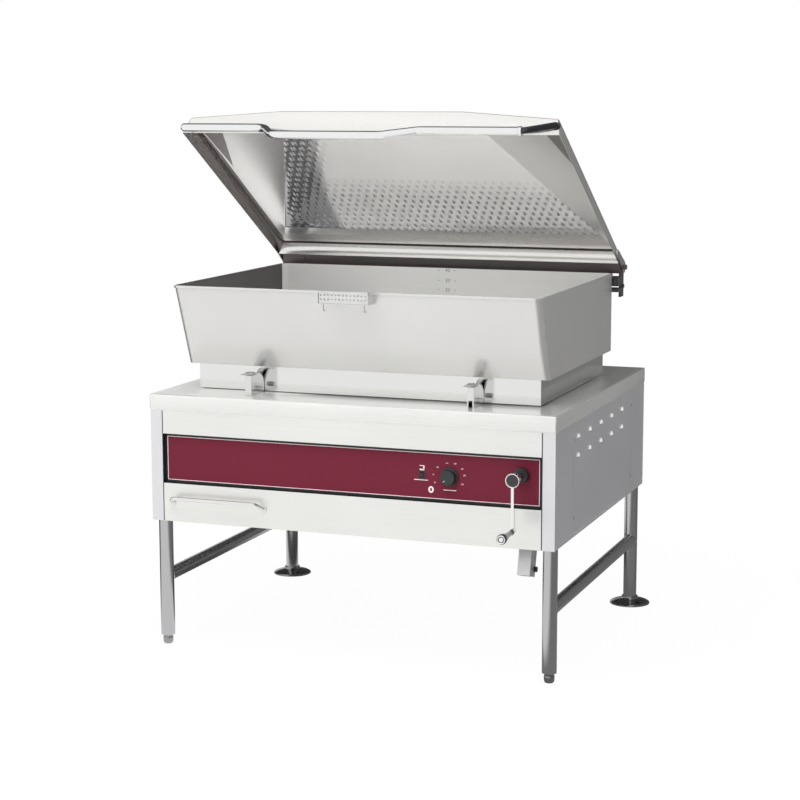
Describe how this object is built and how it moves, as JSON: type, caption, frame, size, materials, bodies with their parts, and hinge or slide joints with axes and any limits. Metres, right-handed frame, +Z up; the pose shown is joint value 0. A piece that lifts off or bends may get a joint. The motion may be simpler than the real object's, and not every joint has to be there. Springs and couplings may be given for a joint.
{
  "type": "tilting bratt pan",
  "caption": "Rectangular pan with a hinged lid on a console with round legs; a hand crank, bevel box and swinging screw jack tilt the pan forwards over its front hinges.",
  "frame": {"origin": "on the floor under the middle of the whole object", "axes": "+X to the right of a person facing the front, +Y to the rear, +Z up"},
  "size_m": [1.2954, 1.202, 1.5568],
  "materials": {
    "satin_steel": "satin stainless steel sheet",
    "polished_steel": "polished stainless steel",
    "tube_steel": "satin stainless steel tube",
    "plain_steel": "machined steel",
    "plate_steel": "ground cooking surface",
    "dark_steel": "dark brown painted steel",
    "bright_chrome": "polished",
    "burgundy_paint": "satin paint with a pale border",
    "black_paint": "black",
    "black_plastic": "black, glossy",
    "box_plastic": "grey",
    "cast_grey": "painted grey",
    "bronze": "machined bronze",
    "wool": "mineral wool"
  },
  "bodies": {
    "stand": {"base_frame": "plain_steel", "leg_plugs": "plain_steel", "leg_front_left": "tube_steel", "leg_front_right": "tube_steel", "leg_rear_left": "tube_steel", "leg_rear_right": "tube_steel", "stretcher_left": "tube_steel", "stretcher_right": "tube_steel", "floor_flange_left": "tube_steel", "floor_flange_right": "tube_steel", "worktop": "satin_steel", "side_panel_left": "satin_steel", "side_panel_right": "satin_steel", "access_panel_left": "satin_steel", "access_panel_right": "satin_steel", "back_panel": "satin_steel", "upper_front_panel": "satin_steel", "lower_front_panel": "satin_steel", "control_recess": "black_paint", "control_panel": "burgundy_paint", "thermostat_body": "box_plastic", "switch_housing": "black_plastic", "contactor_box": "box_plastic", "bar_handle": "satin_steel", "hinge_blocks": "satin_steel", "tilt_pins": "polished_steel", "crank_bearing": "black_plastic", "bevel_box": "cast_grey", "trunnion_brackets": "plain_steel", "panel_screws": "plain_steel"},
    "pan": {"pan_shell": "satin_steel", "cooking_plate": "plate_steel", "heating_elements": "plain_steel", "insulation": "wool", "pan_base": "polished_steel", "pan_ears": "plain_steel", "pour_lip": "satin_steel", "lip_hooks": "polished_steel", "lift_beam": "plain_steel", "lift_pin": "plain_steel", "hinge_tube": "dark_steel", "hinge_tube_brackets": "dark_steel"},
    "lid": {"lid_shell": "satin_steel", "lid_handle": "polished_steel", "lid_straps": "satin_steel"},
    "strainer": {"strainer": "satin_steel"},
    "crank": {"crank_arm_hub": "bright_chrome", "crank_shaft": "plain_steel", "crank_gear": "plain_steel"},
    "grip": {"crank_grip": "black_plastic"},
    "cross_shaft": {"cross_shaft": "plain_steel"},
    "jack": {"jack_housing": "cast_grey", "guard_tube": "tube_steel", "guard_bolt": "black_paint"},
    "nut": {"drive_nut": "bronze"},
    "screw": {"jack_screw": "plain_steel"},
    "knob": {"thermostat_knob": "black_plastic"},
    "rocker": {"rocker": "black_plastic"},
    "foot_left": {"foot_left": "polished_steel"},
    "foot_right": {"foot_right": "polished_steel"}
  },
  "joints": [
    {"name": "pan_tilt", "type": "hinge", "parent": "stand", "child": "pan", "pos_m": [0, -0.318, 0.766], "axis": [1, 0, 0], "range_deg": [0, 76]},
    {"name": "jack_swing", "type": "hinge", "parent": "stand", "child": "jack", "pos_m": [0.447, -0.05549, 0.583], "axis": [1, 0, 0], "range_deg": [0, 38]},
    {"name": "screw_swing", "type": "hinge", "parent": "pan", "child": "screw", "pos_m": [0.447, 0.00169, 0.78], "axis": [1, 0, 0], "range_deg": [-38, 0]},
    {"name": "crank_turn", "type": "hinge", "parent": "stand", "child": "crank", "pos_m": [0.5105, -0.425, 0.583], "axis": [0, 1, 0], "range_deg": [0, 5760]},
    {"name": "grip_spin", "type": "hinge", "parent": "crank", "child": "grip", "pos_m": [0.5105, -0.503, 0.443], "axis": [0, 1, 0], "continuous": true},
    {"name": "cross_shaft_turn", "type": "hinge", "parent": "stand", "child": "cross_shaft", "pos_m": [0.5105, -0.05549, 0.583], "axis": [1, 0, 0], "range_deg": [0, 11520]},
    {"name": "nut_turn", "type": "hinge", "parent": "jack", "child": "nut", "pos_m": [0.447, -0.05549, 0.583], "axis": [0, 0.2788, 0.9604], "range_deg": [0, 5760]},
    {"name": "lid_hinge", "type": "hinge", "parent": "pan", "child": "lid", "pos_m": [0, 0.457, 1.077], "axis": [-1, 0, 0], "range_deg": [-30.8, 40]},
    {"name": "strainer_lift", "type": "slide", "parent": "pan", "child": "strainer", "axis": [0, 0, 1], "range_m": [0, 0.1]},
    {"name": "thermostat_turn", "type": "hinge", "parent": "stand", "child": "knob", "pos_m": [0.302, -0.411, 0.563], "axis": [0, 1, 0], "range_deg": [0, 285]},
    {"name": "rocker_press", "type": "hinge", "parent": "stand", "child": "rocker", "pos_m": [0.222, -0.411, 0.565], "axis": [1, 0, 0], "range_deg": [-16, 0]},
    {"name": "foot_left_screw", "type": "slide", "parent": "stand", "child": "foot_left", "axis": [0, 0, 1], "range_m": [-0.025, 0]},
    {"name": "foot_right_screw", "type": "slide", "parent": "stand", "child": "foot_right", "axis": [0, 0, 1], "range_m": [-0.025, 0]}
  ],
  "couplings": [
    {"joint": "jack_swing", "follows": "pan_tilt", "ratio": 0.5},
    {"joint": "screw_swing", "follows": "pan_tilt", "ratio": -0.5},
    {"joint": "crank_turn", "follows": "pan_tilt", "ratio": 75.789},
    {"joint": "cross_shaft_turn", "follows": "pan_tilt", "ratio": 151.58},
    {"joint": "nut_turn", "follows": "pan_tilt", "ratio": 75.789}
  ]
}
